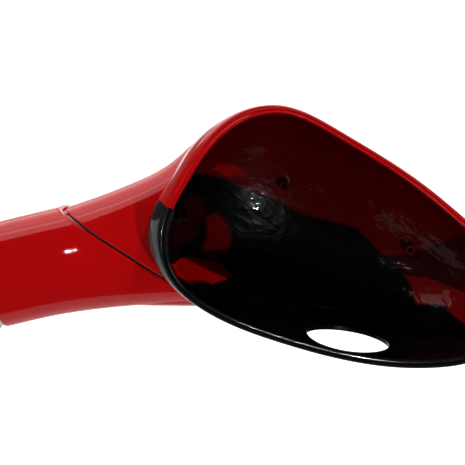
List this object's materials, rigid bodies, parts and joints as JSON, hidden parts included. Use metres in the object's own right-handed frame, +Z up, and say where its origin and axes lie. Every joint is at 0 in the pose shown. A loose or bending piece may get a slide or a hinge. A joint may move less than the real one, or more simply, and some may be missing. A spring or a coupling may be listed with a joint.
{
  "type": "car side mirror housing",
  "caption": "Folding right-hand car door mirror housing: empty teardrop shell with a black lower half, on a slanted red arm with a cast frame.",
  "frame": {"origin": "centre of the door face, where the studs leave the gasket", "axes": "+X outboard from the door, +Y towards the front of the car, +Z up along the fold axis"},
  "size_m": [0.3359, 0.0996, 0.2503],
  "materials": {
    "red_paint": "red gloss two-coat paint on moulded plastic",
    "black_gloss": "bare gloss black moulding with red overspray inside",
    "cast_aluminium": "as cast, machined on the mating faces",
    "zinc_steel": "zinc plated",
    "black_steel": "black oxide",
    "spring_steel": "oiled spring steel",
    "bearing_plastic": "natural acetal",
    "seal_rubber": "matt black rubber"
  },
  "bodies": {
    "arm": {"arm_cover": "red_paint", "arm_frame": "cast_aluminium", "arm_cover_screws": "black_steel", "pivot_bush": "bearing_plastic", "friction_disc": "bearing_plastic", "stop_pin": "zinc_steel", "fold_seal": "seal_rubber", "door_gasket": "seal_rubber", "door_studs": "zinc_steel", "locating_pin": "zinc_steel", "cable_grommet": "seal_rubber"},
    "head": {"upper_shell": "red_paint", "lower_shell": "black_gloss", "head_bracket": "cast_aluminium", "bracket_screws": "black_steel", "shell_screws": "black_steel", "pivot_post": "zinc_steel", "post_screws": "zinc_steel", "thrust_washer": "zinc_steel", "fold_spring": "spring_steel", "spring_seat": "zinc_steel", "retaining_ring": "spring_steel"}
  },
  "joints": [
    {"name": "fold", "type": "hinge", "parent": "arm", "child": "head", "pos_m": [0.08492, 0, 0.08011], "axis": [0, 0, 1], "range_deg": [-65, 45]}
  ]
}
